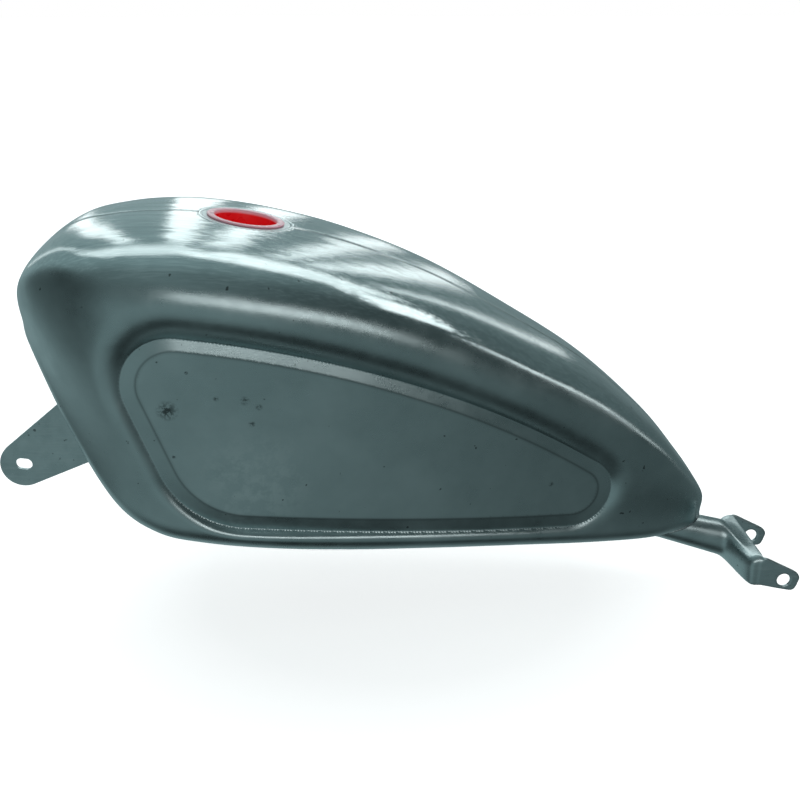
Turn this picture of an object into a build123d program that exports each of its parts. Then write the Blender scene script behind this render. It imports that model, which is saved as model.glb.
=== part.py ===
from build123d import *
from math import atan2, degrees, hypot, radians, tan
import os

# A one-piece motorcycle fuel tank of bare sheet steel.
# +X is forward, +Y is the rider's left and +Z is up, in millimetres.
# The origin is the middle of the rear bolt's axis, between the two rear ears.

# Sheet steel
WALL = 1.5                # body, floor and tunnel
SEAM_HALF = 1.0           # half the width of the weld along the centre line
WELD_GAP = 1.6            # width of the other butt welds

# Body stations from tail to nose: x, crown height, bottom height, half width
STATIONS = [
    (65.5, 60.0, 58.0, 1.0),
    (68.0, 71.0, 47.0, 17.0),
    (75.5, 84.0, 40.0, 28.0),
    (90.0, 104.5, 36.0, 38.0),
    (118.0, 138.0, 35.5, 52.0),
    (170.0, 184.0, 41.0, 73.0),
    (230.0, 222.0, 48.5, 94.0),
    (300.0, 261.0, 55.0, 112.0),
    (370.0, 288.5, 60.5, 125.0),
    (430.0, 304.0, 66.5, 133.0),
    (480.0, 312.0, 73.0, 134.0),
    (515.0, 313.5, 81.0, 130.0),
    (545.0, 311.5, 101.5, 120.0),
    (574.0, 305.5, 146.5, 101.0),
    (600.0, 289.0, 196.5, 74.0),
    (615.0, 266.0, 222.0, 42.0),
    (618.0, 243.0, 240.0, 3.0),
]
WIDEST = 0.78             # height of the widest line, as a share of the section
WAIST = 0.78              # width above the bottom corner, as a share of the widest
CORNER = 16.0             # radius of the rolled bottom corner

# Indented side panel: a raised plateau in a recess, curved in plan and leaning out
PANEL_RADIUS = 1100.0
PANEL_APEX_X = 470.0
PANEL_APEX_Y = 108.5      # at PANEL_Z
PANEL_Z = 150.0
PANEL_LEAN = 0.114        # outward per unit of height
PANEL_FRONT = (533.0, 239.4)
PANEL_TOP = (345.0, 201.6)
PANEL_REAR = (125.0, 70.5)
PANEL_LOWER = (484.0, 103.2)
PANEL_RADII = (28.0, 20.0, 60.0)   # front top, rear and front lower corners
PANEL_RISE = 3.0          # plateau above the groove around it
PANEL_BAND = 10.5         # width of the sloping band on the plateau's edge
PANEL_TAPER = 25.0        # draft of the recess wall, degrees
RECESS_Y = 94.0           # the mean plane of the recess at the panel's middle
RECESS_TURN = 0.147       # that plane's slope in plan
RECESS_SINK = 14.0        # depth below that plane where the draft starts

# Tunnel for the frame's backbone, parallel to the rear bracket's tube
SLOPE = 0.236             # rise per unit of x
TUNNEL_ROOF = 29.5        # roof height at x = 0
TUNNEL_HALF = 15.0        # half width at x = 0
TUNNEL_FLARE = 0.026      # half width gained per unit of x
TUNNEL_RADIUS = 12.0
TUNNEL_SPAN = (30.0, 660.0)

# Floor plates, one under each lobe: outline of the left one, x and y
FLOOR_EDGE = [
    (98.0, 17.0), (118.0, 24.0), (170.0, 40.0), (230.0, 56.0), (300.0, 70.0),
    (370.0, 80.0), (430.0, 86.0), (476.0, 86.0), (500.0, 76.0), (507.0, 56.0),
]
FLOOR_TOP = 92.0          # the outline's prism stops below the crown

# Filler neck and plug, on an axis that leans back
NECK_X = 444.5
NECK_Z = 305.9
NECK_TILT = 9.8
NECK_FLANGE_R = 34.2
NECK_FLANGE_T = 3.0
NECK_TUBE_R = 28.3
NECK_BORE_R = 26.8
NECK_DEPTH = 34.0
PLUG_FLANGE_R = 30.4
PLUG_FLANGE_T = 1.4
PLUG_CUP_R = 26.1
PLUG_CUP_TIP_R = 25.3
PLUG_WALL = 1.8
PLUG_DEPTH = 21.0
PLUG_RIB_R = 26.5
PLUG_RIBS = (5.0, 9.5, 14.0)

# Front tongue: a plate on the centre plane under the tunnel roof
TONGUE_T = 3.0
TONGUE_SLOT = (635.3, 104.2)
TONGUE_SLOT_SIZE = (13.6, 9.6)
TONGUE_SLOT_TURN = 9.0
TONGUE_TIP_R = 19.4
TONGUE_UPPER = (602.9, 156.1)
TONGUE_LOWER = (581.6, 104.9)
TONGUE_REAR_X = 515.0
DOUBLER_T = 2.0
DOUBLER_HALF = 15.0
DOUBLER_SPAN = (505.0, 592.0)

# Rear bracket: a tube under the tail, spread into a channel with two ears
TUBE_R = 13.35
TUBE_WALL = 2.0
TUBE_AXIS_Z = 13.2        # height of the tube's axis at x = 0
TUBE_START_X = 160.0
TUBE_END_X = 40.0
HOOD_END_X = 19.0
HOOD_TOP_Z = 22.8
HOOD_BOTTOM_Z = -7.0
EAR_INNER_Y = 41.0
EAR_T = 3.0
EAR_BOLT_R = 5.6
SADDLE_HALF = 9.0
SADDLE_SPAN = (84.0, 154.0)

# Petcock bung in the left floor
BUNG_AT = (236.0, 38.0)
BUNG_R = 12.5
BUNG_BORE_R = 7.35
BUNG_ABOVE = 9.0
BUNG_BELOW = 6.0

# Vent standpipe in the left lobe, and the hose nipple under it
VENT_AT = (488.0, 56.0)
VENT_R = 3.2
VENT_BORE_R = 2.2
NIPPLE_R = 4.0
NIPPLE_BELOW = 16.0
NIPPLE_COLLAR_R = 5.5
NIPPLE_COLLAR = (-2.0, 3.0)  # from the floor's underside
VENT_BEND_Z = 250.0
VENT_TIP = (27.0, 300.0)  # y and z of the open upper end
VENT_BEND_R = 14.0
VENT_STAY_Z = 132.0


def section(x, crown, bottom, half):
    """Left half of the body's cross-section at x, as a face."""
    height = crown - bottom
    widest = bottom + WIDEST * height
    radius = min(CORNER, 0.25 * height)
    above = bottom + radius
    waist = WAIST * half
    foot = waist - min(radius, 0.5 * waist)
    shoulder = Bezier(
        (x, 0, crown),
        (x, 0.88 * half, crown),
        (x, half, widest + 0.72 * (crown - widest)),
        (x, half, widest),
    )
    side = Bezier(
        (x, half, widest),
        (x, half, widest - 0.4 * (widest - above)),
        (x, waist + 0.18 * (half - waist), above + 0.35 * (widest - above)),
        (x, waist, above),
    )
    corner = Bezier(
        (x, waist, above),
        (x, waist - 0.05 * (half - waist), above - 0.55 * radius),
        (x, foot + 0.55 * (waist - foot), bottom),
        (x, foot, bottom),
    )
    floor = Line((x, foot, bottom), (x, 0, bottom))
    centre = Line((x, 0, bottom), (x, 0, crown))
    return Face(Wire([shoulder, side, corner, floor, centre]))


def inset_station(index, depth):
    """A station moved in by depth, measured square to the surface."""
    x, crown, bottom, half = STATIONS[index]
    before = STATIONS[max(index - 1, 0)]
    after = STATIONS[min(index + 1, len(STATIONS) - 1)]
    run = after[0] - before[0]
    steep = [hypot(1.0, (after[k] - before[k]) / run) for k in (1, 2, 3)]
    return x, crown - depth * steep[0], bottom + depth * steep[1], half - depth * steep[2]


def half_body(depth=0.0):
    """Left half of the body's outer form, or of the hollow inside it."""
    if depth == 0:
        rows = STATIONS
    else:
        inner = [inset_station(i, depth) for i in range(2, len(STATIONS) - 2)]
        tail = (STATIONS[0][0] + depth + 1.0, 62.0, 56.0, 4.0)
        nose = (STATIONS[-1][0] - depth - 1.0, 246.0, 236.0, 6.0)
        second = (STATIONS[1][0] + depth + 1.2, 73.0, 49.0, 17.0)
        last_but_one = (STATIONS[-2][0] - depth, 262.0, 224.0, 38.0)
        rows = [tail, second] + inner + [last_but_one, nose]
    return Solid(loft([section(*row) for row in rows]).wrapped)


def mirrored(shape):
    """The same shape on the other side of the centre plane."""
    return mirror(shape, about=Plane.XZ)


def side_view_prism(face, low_y, high_y):
    """A face drawn in -x and z, extruded along +Y."""
    placed = Plane((0, low_y, 0), x_dir=(-1, 0, 0), z_dir=(0, 1, 0)) * face
    return extrude(placed, amount=high_y - low_y, dir=(0, 1, 0))


def panel_outline(grow):
    """Outline of the side panel, drawn in -x and z, grown outwards."""
    front, top, rear, lower = [
        Vector(-p[0], p[1]) for p in (PANEL_FRONT, PANEL_TOP, PANEL_REAR, PANEL_LOWER)
    ]
    edges = [ThreePointArc(front, top, rear), Line(rear, lower), Line(lower, front)]
    face = make_face(Wire(edges))
    for point, radius in zip((front, rear, lower), PANEL_RADII):
        corner = face.vertices().sort_by_distance(point)[0]
        face = fillet(corner, radius)
    return offset(face, amount=grow, kind=Kind.ARC)


def panel_core(sink):
    """Everything on the inner side of the panel's curved, leaning surface."""
    base_z = -50.0
    shift = PANEL_LEAN * (base_z - PANEL_Z)
    centre_y = PANEL_APEX_Y - PANEL_RADIUS + shift - sink
    disc = Plane((PANEL_APEX_X, centre_y, base_z)) * Circle(PANEL_RADIUS)
    return extrude(disc, amount=450.0, dir=(0, PANEL_LEAN, 1))


def recess_block(grow):
    """The recess's drafted form, widening outwards square to the panel."""
    middle_x = PANEL_TOP[0]
    facing = Vector(-RECESS_TURN, 1, -PANEL_LEAN)
    along = Vector(-1, -RECESS_TURN, 0)
    start = Vector(middle_x, RECESS_Y, PANEL_Z) - facing.normalized() * RECESS_SINK
    place = Plane(start, x_dir=along, z_dir=facing)
    narrowed = grow - RECESS_SINK * tan(radians(PANEL_TAPER))
    face = Pos(middle_x, -PANEL_Z) * panel_outline(narrowed)
    return extrude(place * face, amount=80, taper=-PANEL_TAPER)


def panelled(body, depth):
    """Press the side panel into a half body whose skin lies depth inside."""
    recess = recess_block(PANEL_BAND + depth) - panel_core(PANEL_RISE + depth)
    plateau = side_view_prism(panel_outline(PANEL_BAND - 1.0 - depth), 30, 190)
    plateau = plateau & panel_core(depth)
    rim = plateau.faces().sort_by(Axis.Y)[-1].edges()
    plateau = chamfer(rim, length=PANEL_RISE - 0.2, length2=PANEL_BAND - 1.5)
    return body - recess + plateau


def tunnel(grow):
    """The frame tunnel's void, or a larger form around it."""
    ends = []
    for x in TUNNEL_SPAN:
        half = TUNNEL_HALF + TUNNEL_FLARE * x + grow
        roof = TUNNEL_ROOF + SLOPE * x + grow
        radius = TUNNEL_RADIUS + grow
        deep = -60.0
        outline = Polyline((-half, deep), (-half, roof), (half, roof), (half, deep), close=True)
        face = make_face(outline)
        top_corners = face.vertices().sort_by(Axis.Y)[-2:]
        face = fillet(top_corners, radius)
        ends.append(Plane((x, 0, 0), x_dir=(0, 1, 0), z_dir=(1, 0, 0)) * face)
    return loft(ends, ruled=True)


def floor_prism(grow):
    """A tall block over the left floor plate's outline, grown outwards."""
    corner_x = FLOOR_EDGE[-3][0]
    points = [(x + grow * (x >= corner_x), y + grow) for x, y in FLOOR_EDGE]
    first = points[0]
    last = points[-1]
    back = Polyline(last, (last[0], 0), (first[0], 0), first)
    face = make_face(Wire([Spline(*points)] + list(back.edges())))
    return extrude(Plane((0, 0, 20)) * face, amount=FLOOR_TOP - 20)


def ring(outer, inner, low, high):
    """A straight sleeve on the Z axis."""
    return extrude(Plane((0, 0, low)) * (Circle(outer) - Circle(inner)), amount=high - low)


def turned(profile):
    """A solid of revolution about Z from radius and height pairs."""
    points = [(radius, 0, height) for radius, height in profile]
    return revolve(make_face(Polyline(*points, close=True)), axis=Axis.Z)


NECK_PLACE = Location((NECK_X, 0, NECK_Z)) * Rotation(0, -NECK_TILT, 0)
TUBE_TILT = degrees(atan2(SLOPE, 1.0))


def tube_plane(x):
    """A plane square to the rear tube's axis where it passes x, facing back."""
    return Plane((x, 0, TUBE_AXIS_Z + SLOPE * x), x_dir=(0, -1, 0), z_dir=(-1, 0, -SLOPE))


def tube_rod(radius, start, end):
    """A round bar along the rear tube's axis."""
    length = (start - end) * hypot(1.0, SLOPE)
    return extrude(tube_plane(start) * Circle(radius), amount=length)


def roof_strip(half, span, top, bottom):
    """A bar under the tunnel roof, between two depths below it."""
    low, high = [TUNNEL_ROOF + SLOPE * x for x in span]
    points = [
        (-span[0], low - top), (-span[1], high - top),
        (-span[1], high - bottom), (-span[0], low - bottom),
    ]
    return side_view_prism(make_face(Polyline(*points, close=True)), -half, half)


def filler_neck():
    flange = ring(NECK_FLANGE_R, NECK_BORE_R, -NECK_FLANGE_T, 0)
    tube = ring(NECK_TUBE_R, NECK_BORE_R, -NECK_DEPTH, 0)
    return NECK_PLACE * (flange + tube)


def filler_plug():
    gap = 0.2
    top = gap + PLUG_FLANGE_T
    inner = PLUG_CUP_R - PLUG_WALL
    inner_tip = PLUG_CUP_TIP_R - PLUG_WALL
    plug = turned([
        (inner, top), (PLUG_FLANGE_R, top), (PLUG_FLANGE_R, gap), (PLUG_CUP_R, gap),
        (PLUG_CUP_TIP_R, -PLUG_DEPTH), (0, -PLUG_DEPTH),
        (0, PLUG_WALL - PLUG_DEPTH), (inner_tip, PLUG_WALL - PLUG_DEPTH),
    ])
    for depth in PLUG_RIBS:
        plug += ring(PLUG_RIB_R, PLUG_CUP_TIP_R - 1, -depth - 0.7, -depth + 0.7)
    return NECK_PLACE * plug


def front_tongue():
    roof_front = TUNNEL_ROOF + SLOPE * 592.0
    roof_rear = TUNNEL_ROOF + SLOPE * TONGUE_REAR_X
    drop = DOUBLER_T
    tip_x, tip_z = TONGUE_SLOT
    lower_slope = 0.41
    lower_rear = TONGUE_LOWER[1] + lower_slope * (TONGUE_LOWER[0] - TONGUE_REAR_X)
    points = [
        (-tip_x, tip_z), (-(tip_x + 12.8), tip_z + 14.6), (-TONGUE_UPPER[0], TONGUE_UPPER[1]),
        (-592.0, roof_front - drop), (-TONGUE_REAR_X, roof_rear - drop),
        (-TONGUE_REAR_X, lower_rear), (-TONGUE_LOWER[0], TONGUE_LOWER[1]),
        (-(tip_x - 7.4), tip_z - 17.9),
    ]
    outline = make_face(Polyline(*points, close=True))
    outline += Pos(-tip_x, tip_z) * Circle(TONGUE_TIP_R)
    slot = Pos(-tip_x, tip_z) * Rot(0, 0, -TONGUE_SLOT_TURN) * SlotOverall(*TONGUE_SLOT_SIZE)
    return side_view_prism(outline - slot, -TONGUE_T / 2, TONGUE_T / 2)


def channel_face(half, top, bottom, radius, x):
    """Cross-section of the spread end of the rear tube."""
    middle = (top + bottom) / 2
    face = RectangleRounded(2 * half, top - bottom, radius)
    return Plane((x, 0, middle), x_dir=(0, -1, 0), z_dir=(-1, 0, 0)) * face


def rear_bracket():
    bar = tube_rod(TUBE_R, TUBE_START_X, TUBE_END_X)
    bore = tube_rod(TUBE_R - TUBE_WALL, TUBE_START_X, TUBE_END_X)
    outer_half = EAR_INNER_Y + EAR_T
    spread = loft([
        tube_plane(TUBE_END_X) * Circle(TUBE_R),
        channel_face(outer_half, HOOD_TOP_Z, HOOD_BOTTOM_Z, 9.0, HOOD_END_X),
    ])
    hollow = loft([
        tube_plane(TUBE_END_X + 1) * Circle(TUBE_R - TUBE_WALL),
        channel_face(EAR_INNER_Y, HOOD_TOP_Z - EAR_T, HOOD_BOTTOM_Z - 14.0, 6.5, HOOD_END_X - 1),
    ])
    ear_outline = make_face(Polyline(
        (-HOOD_END_X, HOOD_TOP_Z), (11.6, 6.3), (14.2, 2.6), (10.6, -8.6), (5.3, -10.6),
        (-HOOD_END_X, HOOD_BOTTOM_Z), close=True,
    ))
    ear = side_view_prism(ear_outline, EAR_INNER_Y, EAR_INNER_Y + EAR_T)
    bolt = Rot(90, 0, 0) * Cylinder(EAR_BOLT_R, 4 * outer_half)
    ears = (ear + mirrored(ear)) - bolt
    return (bar - bore) + (spread - hollow) + ears


def standpipe(radius):
    """A round bar of the given radius along the vent pipe, from its foot to its tip."""
    x, y = VENT_AT
    low = floor_height(x) + NIPPLE_COLLAR[1]
    tip_y, tip_z = VENT_TIP
    route = FilletPolyline((x, y, low), (x, y, VENT_BEND_Z), (x, tip_y, tip_z), radius=VENT_BEND_R)
    start = Plane((x, y, low)) * Circle(radius)
    return sweep(start, path=route)


def floor_height(x):
    """Underside of the floor at x, between its two nearest stations."""
    for near, far in zip(STATIONS, STATIONS[1:]):
        if near[0] <= x <= far[0]:
            share = (x - near[0]) / (far[0] - near[0])
            return near[2] + share * (far[2] - near[2])
    raise ValueError("no floor at this x")


def build():
    """Every piece of the tank, by name."""
    outer = half_body()
    skin = panelled(outer, 0.0) - panelled(half_body(WALL), WALL)
    void = tunnel(0)
    casing = tunnel(WALL)
    casing_weld = tunnel(WALL + WELD_GAP)
    plate = floor_prism(0)
    plate_weld = floor_prism(WELD_GAP)
    centre = Box(1200, 2 * SEAM_HALF, 1200)
    neck_hole = NECK_PLACE * Cylinder(NECK_FLANGE_R + WELD_GAP, 60)
    neck_body = NECK_PLACE * Cylinder(NECK_FLANGE_R, 60)

    parts = {}
    left_shell = skin - centre - neck_hole - plate_weld - casing_weld
    parts["left_shell"] = left_shell
    parts["right_shell"] = mirrored(left_shell)

    seam = (skin & centre) - casing_weld - neck_hole
    parts["top_seam_weld"] = seam + mirrored(seam)

    bung_x, bung_y = BUNG_AT
    bung_z = floor_height(bung_x)
    bung_place = Location((bung_x, bung_y, bung_z))
    bung_hole = bung_place * Cylinder(BUNG_R, 60)
    vent_x, vent_y = VENT_AT
    vent_z = floor_height(vent_x)
    vent_place = Location((vent_x, vent_y, vent_z))
    vent_hole = vent_place * Cylinder(NIPPLE_COLLAR_R, 60)

    floor = (skin & plate) - casing_weld
    parts["left_floor_plate"] = floor - bung_hole - vent_hole
    parts["right_floor_plate"] = mirrored(floor)
    rim = (skin & plate_weld) - plate - casing_weld
    parts["left_rim_weld"] = rim
    parts["right_rim_weld"] = mirrored(rim)

    channel = (casing - void) & outer
    parts["tunnel_channel"] = channel + mirrored(channel)
    channel_weld = skin & (casing_weld - casing)
    parts["left_tunnel_weld"] = channel_weld
    parts["right_tunnel_weld"] = mirrored(channel_weld)

    neck_weld = skin & (neck_hole - neck_body)
    parts["filler_neck"] = filler_neck()
    parts["filler_neck_weld"] = neck_weld + mirrored(neck_weld)
    parts["filler_plug"] = filler_plug()

    doubler = roof_strip(DOUBLER_HALF, DOUBLER_SPAN, 0, DOUBLER_T)
    tongue = front_tongue()
    parts["front_doubler_plate"] = doubler
    parts["front_mount_tongue"] = tongue
    bead = roof_strip(TONGUE_T / 2 + 2.5, (TONGUE_REAR_X, 590.0), DOUBLER_T, DOUBLER_T + 2.5)
    parts["front_tongue_weld"] = bead - tongue

    saddle_bar = tube_rod(TUBE_R, 200, 40)
    saddle = (roof_strip(SADDLE_HALF, SADDLE_SPAN, 0, 9.0) & void) - saddle_bar
    parts["rear_saddle_plate"] = saddle
    parts["rear_mount_bracket"] = rear_bracket()
    saddle_weld = roof_strip(SADDLE_HALF + 2.0, SADDLE_SPAN, 2.5, 9.0)
    saddle_weld -= roof_strip(SADDLE_HALF, SADDLE_SPAN, 0, 12.0)
    parts["rear_saddle_weld"] = (saddle_weld & void) - saddle_bar

    parts["petcock_bung"] = bung_place * ring(BUNG_R, BUNG_BORE_R, -BUNG_BELOW, BUNG_ABOVE)
    bung_weld = turned([(BUNG_R, -3.0), (BUNG_R + 3.0, 0.5), (BUNG_R, 3.0)])
    parts["petcock_bung_weld"] = (bung_place * bung_weld) - skin

    parts["vent_standpipe"] = standpipe(VENT_R) - standpipe(VENT_BORE_R)
    nipple = ring(NIPPLE_R, VENT_BORE_R, -NIPPLE_BELOW, NIPPLE_COLLAR[0])
    nipple += ring(NIPPLE_COLLAR_R, VENT_BORE_R, *NIPPLE_COLLAR)
    parts["vent_nipple"] = vent_place * nipple
    collar_weld = turned([
        (NIPPLE_COLLAR_R, -1.8), (NIPPLE_COLLAR_R + 2.0, 0.4), (NIPPLE_COLLAR_R, 2.6),
    ])
    parts["vent_nipple_weld"] = (vent_place * collar_weld) - skin
    wall_y = TUNNEL_HALF + TUNNEL_FLARE * vent_x + WALL
    stay = Pos(vent_x, (wall_y + vent_y + VENT_R + 2) / 2, VENT_STAY_Z)
    stay = stay * Box(12, vent_y + VENT_R + 2 - wall_y, 2)
    parts["vent_pipe_stay"] = stay - casing - standpipe(VENT_R)
    return parts


os.makedirs("parts", exist_ok=True)
for name, shape in build().items():
    export_step(shape, "parts/" + name + ".step")
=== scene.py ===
import math
import bmesh
import bpy
import numpy as np
from mathutils import Matrix, Vector
from mathutils.geometry import delaunay_2d_cdt
from mathutils.kdtree import KDTree


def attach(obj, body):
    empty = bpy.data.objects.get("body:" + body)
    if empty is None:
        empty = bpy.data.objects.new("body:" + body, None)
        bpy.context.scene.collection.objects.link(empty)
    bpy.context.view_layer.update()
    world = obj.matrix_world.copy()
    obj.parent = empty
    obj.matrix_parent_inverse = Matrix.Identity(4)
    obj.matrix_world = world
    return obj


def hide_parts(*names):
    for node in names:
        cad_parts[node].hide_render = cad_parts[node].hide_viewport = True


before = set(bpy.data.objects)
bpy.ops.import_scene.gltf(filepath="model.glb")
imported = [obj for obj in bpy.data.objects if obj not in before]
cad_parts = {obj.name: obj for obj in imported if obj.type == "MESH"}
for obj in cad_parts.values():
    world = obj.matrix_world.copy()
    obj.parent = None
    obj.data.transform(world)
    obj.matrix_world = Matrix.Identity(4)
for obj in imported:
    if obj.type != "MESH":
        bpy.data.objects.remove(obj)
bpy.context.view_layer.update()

# Looks of a bare steel motorcycle tank with an embossed side panel and a red filler plug.
# Shapes are worked out in millimetres in the CAD frame and scaled when a mesh is made.
MM = 0.001
WALL = 1.5

# ---------------------------------------------------------------- body form
# Stations from tail to nose: x, crown height, bottom height, half width
STATIONS = np.array([
    (65.5, 60.0, 58.0, 1.0), (68.0, 71.0, 47.0, 17.0), (75.5, 84.0, 40.0, 28.0),
    (90.0, 104.5, 36.0, 38.0), (118.0, 138.0, 35.5, 52.0), (170.0, 184.0, 41.0, 73.0),
    (230.0, 222.0, 48.5, 94.0), (300.0, 261.0, 55.0, 112.0), (370.0, 288.5, 60.5, 125.0),
    (430.0, 304.0, 66.5, 133.0), (480.0, 312.0, 73.0, 134.0), (515.0, 313.5, 81.0, 130.0),
    (545.0, 311.5, 101.5, 120.0), (574.0, 305.5, 146.5, 101.0), (600.0, 289.0, 196.5, 74.0),
    (615.0, 266.0, 222.0, 42.0), (618.0, 243.0, 240.0, 1.2),
])
WIDEST = 0.78             # height of the widest line, as a share of the section
WAIST = 0.78              # width above the bottom corner, as a share of the widest
CORNER = 16.0             # radius of the rolled bottom corner
SEAM_HALF = 1.0           # half the width of the centre seam
ROWS = 900
COLUMNS = 480

# Side panel: plan curve, lean, outline and the profile of its edge
PANEL_RADIUS = 1100.0
PANEL_APEX = (470.0, 108.5)
PANEL_Z = 150.0
PANEL_LEAN = 0.114
PANEL_FRONT = (533.0, 239.4)
PANEL_TOP = (345.0, 201.6)
PANEL_REAR = (125.0, 70.5)
PANEL_LOWER = (484.0, 103.2)
PANEL_RADII = (28.0, 20.0, 60.0)
PANEL_RISE = 3.0
BAND_TOP = 9.0            # width of the sloping band along the top edge
BAND_LOW = 12.5           # and along the bottom edge
WALL_TOP = 38.0           # width of the recess wall above the panel
WALL_FRONT = 34.0
WALL_LOW = 9.0

# Tunnel, floor plates and filler neck
SLOPE = 0.236
TUNNEL_ROOF = 29.5
TUNNEL_HALF = 15.0
TUNNEL_FLARE = 0.026
TUNNEL_RADIUS = 12.0
WELD_GAP = 1.6
FLOOR_EDGE = np.array([
    (98.0, 17.0), (118.0, 24.0), (170.0, 40.0), (230.0, 56.0), (300.0, 70.0),
    (370.0, 80.0), (430.0, 86.0), (476.0, 86.0), (500.0, 76.0), (507.0, 56.0),
])
NECK = Vector((444.5, 0.0, 305.9))
NECK_TILT = math.radians(9.8)
NECK_AXIS = Vector((-math.sin(NECK_TILT), 0.0, math.cos(NECK_TILT)))
NECK_R = 34.2
SKIN_STEP = 2.6           # spacing of the skin's mesh


def catmull(table, u):
    """Rows of a table, joined smoothly and read at the fractional rows u."""
    last = len(table) - 1
    index = np.clip(np.floor(u).astype(int), 0, last - 1)
    t = (u - index)[:, None]
    here, after = table[index], table[index + 1]
    before, beyond = table[np.maximum(index - 1, 0)], table[np.minimum(index + 2, last)]
    start = np.where(index[:, None] > 0, (after - before) / 2, after - here)
    end = np.where(index[:, None] < last - 1, (beyond - here) / 2, after - here)
    t2, t3 = t * t, t * t * t
    return ((2 * t3 - 3 * t2 + 1) * here + (t3 - 2 * t2 + t) * start
            + (3 * t2 - 2 * t3) * after + (t3 - t2) * end)


def bezier(p0, p1, p2, p3, t):
    """Cubic Bezier for columns of control values, one row per station."""
    p0, p1, p2, p3 = [np.asarray(p)[:, None] for p in (p0, p1, p2, p3)]
    s = 1 - t
    return s**3 * p0 + 3 * s * s * t * p1 + 3 * s * t * t * p2 + t**3 * p3


def half_sections(crown, bottom, half):
    """Left half of every cross-section, from the crown down and back to the centre."""
    height = crown - bottom
    widest = bottom + WIDEST * height
    radius = np.minimum(CORNER, 0.25 * height)
    above = bottom + radius
    waist = WAIST * half
    foot = waist - np.minimum(radius, 0.5 * waist)
    zero = 0 * crown
    t = np.linspace(0, 1, 120)
    y = [
        bezier(zero, 0.88 * half, half, half, t),
        bezier(half, half, waist + 0.18 * (half - waist), waist, t),
        bezier(waist, waist - 0.05 * (half - waist), foot + 0.55 * (waist - foot), foot, t),
        bezier(foot, 0.67 * foot, 0.33 * foot, zero, t),
    ]
    z = [
        bezier(crown, crown, widest + 0.72 * (crown - widest), widest, t),
        bezier(widest, widest - 0.4 * (widest - above), above + 0.35 * (widest - above), above, t),
        bezier(above, above - 0.55 * radius, bottom, bottom, t),
        bezier(bottom, bottom, bottom, bottom, t),
    ]
    return np.concatenate(y, axis=1), np.concatenate(z, axis=1)


class Body:
    """The smooth left half of the body, read by U along it and W around it."""

    def __init__(self):
        fine = catmull(STATIONS, np.linspace(0, len(STATIONS) - 1, 4 * ROWS))
        step = np.diff(fine, axis=0)
        run = np.sqrt(step[:, 0]**2 + (step[:, 1:]**2).sum(1) / 3)
        along = np.concatenate([[0], np.cumsum(run)])
        self.length = along[-1]
        self.u = np.linspace(0, self.length, ROWS)
        self.rows = np.stack([np.interp(self.u, along, fine[:, k]) for k in range(4)], 1)
        self.x = np.maximum.accumulate(self.rows[:, 0])
        y, z = half_sections(*self.rows[:, 1:].T)
        self.around = np.zeros(ROWS)
        self.y = np.zeros((ROWS, COLUMNS))
        self.z = np.zeros((ROWS, COLUMNS))
        for i in range(ROWS):
            arc = np.concatenate([[0], np.cumsum(np.hypot(np.diff(y[i]), np.diff(z[i])))])
            even = np.linspace(0, arc[-1], COLUMNS)
            self.around[i] = arc[-1]
            self.y[i] = np.interp(even, arc, y[i])
            self.z[i] = np.interp(even, arc, z[i])

    def girth(self, u):
        return np.interp(u, self.u, self.around)

    def points(self, u, w):
        """Points of the surface at U and W, W being measured from mid-girth."""
        u, w = np.asarray(u, float), np.asarray(w, float)
        row = np.clip(u / self.length * (ROWS - 1), 0, ROWS - 1.001)
        column = np.clip((w / self.girth(u) + 0.5) * (COLUMNS - 1), 0, COLUMNS - 1.001)
        i, j = row.astype(int), column.astype(int)
        a, b = row - i, column - j

        def read(grid):
            near = grid[i, j] * (1 - b) + grid[i, j + 1] * b
            far = grid[i + 1, j] * (1 - b) + grid[i + 1, j + 1] * b
            return near * (1 - a) + far * a
        return np.stack([np.interp(u, self.u, self.x), read(self.y), read(self.z)], -1)

    def seek(self, x, key, value):
        """W where a falling (z) or rising (y) column value is met in the section at x."""
        u = float(np.interp(x, self.x, self.u))
        i = min(int(u / self.length * (ROWS - 1)), ROWS - 2)
        a = u / self.length * (ROWS - 1) - i
        column = key[i] * (1 - a) + key[i + 1] * a
        if key is self.z:
            j = np.interp(-value, -column, np.arange(COLUMNS))
        else:
            top = int(np.argmax(column))
            j = np.interp(value, column[:top + 1], np.arange(top + 1))
        return u, (j / (COLUMNS - 1) - 0.5) * float(self.girth(u))


def floor_edge_y(x, grow):
    """The floor plate's outline, y at x, grown outwards."""
    table = FLOOR_EDGE + np.stack([grow * (FLOOR_EDGE[:, 0] >= 476), np.full(len(FLOOR_EDGE), grow)], 1)
    fine = catmull(table, np.linspace(0, len(table) - 1, 300))
    return np.interp(x, fine[:, 0], fine[:, 1], left=-99, right=-99)


def casing_distance(x, y, z, grow):
    """Signed distance to the tunnel casing grown outwards; less than 0 inside."""
    half = TUNNEL_HALF + TUNNEL_FLARE * x + grow
    roof = TUNNEL_ROOF + SLOPE * x + grow
    radius = TUNNEL_RADIUS + grow
    side = np.abs(y) - (half - radius)
    top = z - (roof - radius)
    corner = np.hypot(np.maximum(side, 0), np.maximum(top, 0)) - radius
    return np.where((side > 0) & (top > 0), corner, np.maximum(side, top) - radius)


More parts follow.
